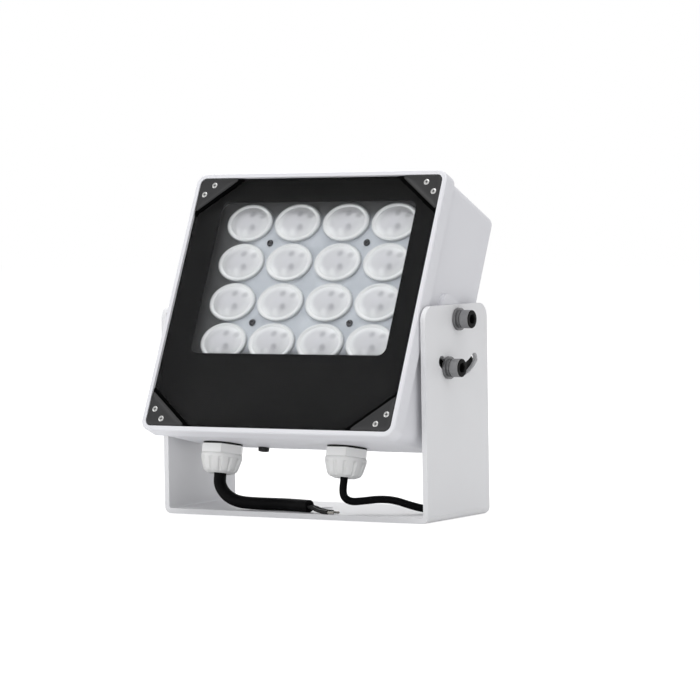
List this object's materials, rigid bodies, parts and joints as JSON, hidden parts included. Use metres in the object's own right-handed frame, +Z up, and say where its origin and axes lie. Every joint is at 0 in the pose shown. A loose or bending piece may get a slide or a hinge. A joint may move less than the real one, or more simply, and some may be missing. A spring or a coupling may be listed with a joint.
{
  "type": "infrared illuminator",
  "caption": "Infrared floodlight head with an array of oval lenses behind a black-bordered glass, tilting in a folded U-bracket, with cable glands and short leads.",
  "frame": {"origin": "centre of the underside of the bracket's base, on the axis of its centre hole", "axes": "+X across the bracket to the viewer's right, +Y from the lit face to the back, +Z up along the arms"},
  "size_m": [0.1918, 0.1394, 0.191],
  "materials": {
    "white_coat": "fine satin powder coat",
    "white_coat_cast": "fine satin white powder coat over cast aluminium",
    "clear_glass": "polished float glass",
    "border_print": "black print seen through the glass",
    "seal_rubber": "matt",
    "clamp_black": "fine moulded texture",
    "lens_clear": "clear moulded lens with a frosted dome",
    "tray_grey": "moulded",
    "board_white": "white board coating",
    "emitter": "domed chip package",
    "bare_aluminium": "rolled",
    "board_green": "green board coating",
    "ferrite": "sintered",
    "can_sleeve": "shrunk sleeve",
    "chip_black": "moulded",
    "terminal_plastic": "moulded",
    "screw_steel": "bright plated",
    "bolt_steel": "plated steel",
    "gland_grey": "moulded polyamide",
    "vent_black": "moulded",
    "core_sleeve": "insulated core",
    "lead_black": "satin sheath"
  },
  "bodies": {
    "bracket": {"bracket": "white_coat", "signal_lead": "lead_black", "signal_lead_cores": "core_sleeve"},
    "head": {"array_screws": "screw_steel", "clamp_screws": "screw_steel", "corner_clamp_bottom_left": "clamp_black", "corner_clamp_bottom_right": "clamp_black", "corner_clamp_top_left": "clamp_black", "corner_clamp_top_right": "clamp_black", "driver_board": "board_green", "driver_capacitors": "can_sleeve", "driver_chips": "chip_black", "driver_coil": "ferrite", "driver_screws": "screw_steel", "flat_washers": "bolt_steel", "front_glass": "clear_glass", "glass_gasket": "seal_rubber", "heat_spreader": "bare_aluminium", "housing": "white_coat_cast", "led_board": "board_white", "led_emitters": "emitter", "lens_r1_c1": "lens_clear", "lens_r1_c2": "lens_clear", "lens_r1_c3": "lens_clear", "lens_r1_c4": "lens_clear", "lens_r2_c1": "lens_clear", "lens_r2_c2": "lens_clear", "lens_r2_c3": "lens_clear", "lens_r2_c4": "lens_clear", "lens_r3_c1": "lens_clear", "lens_r3_c2": "lens_clear", "lens_r3_c3": "lens_clear", "lens_r3_c4": "lens_clear", "lens_r4_c1": "lens_clear", "lens_r4_c2": "lens_clear", "lens_r4_c3": "lens_clear", "lens_r4_c4": "lens_clear", "lens_tray": "tray_grey", "lock_bolt_left": "bolt_steel", "lock_bolt_right": "bolt_steel", "pivot_bolt_left": "bolt_steel", "pivot_bolt_right": "bolt_steel", "power_gland_body": "gland_grey", "power_gland_cap": "gland_grey", "power_gland_nut": "gland_grey", "power_gland_seal": "seal_rubber", "power_gland_washer": "seal_rubber", "power_inner_cores": "core_sleeve", "power_lead": "lead_black", "power_lead_cores": "core_sleeve", "printed_border": "border_print", "signal_gland_body": "gland_grey", "signal_gland_cap": "gland_grey", "signal_gland_nut": "gland_grey", "signal_gland_seal": "seal_rubber", "signal_gland_washer": "seal_rubber", "signal_inner_cores": "core_sleeve", "spring_washers": "bolt_steel", "terminal_block": "terminal_plastic", "vent_plug": "vent_black"}
  },
  "joints": [
    {"name": "head_tilt", "type": "hinge", "parent": "bracket", "child": "head", "pos_m": [0, 0.0015, 0.1095], "axis": [1, 0, 0], "range_deg": [-14, 62], "deforming": ["power_lead", "power_lead_cores", "signal_lead", "signal_lead_cores"]}
  ]
}
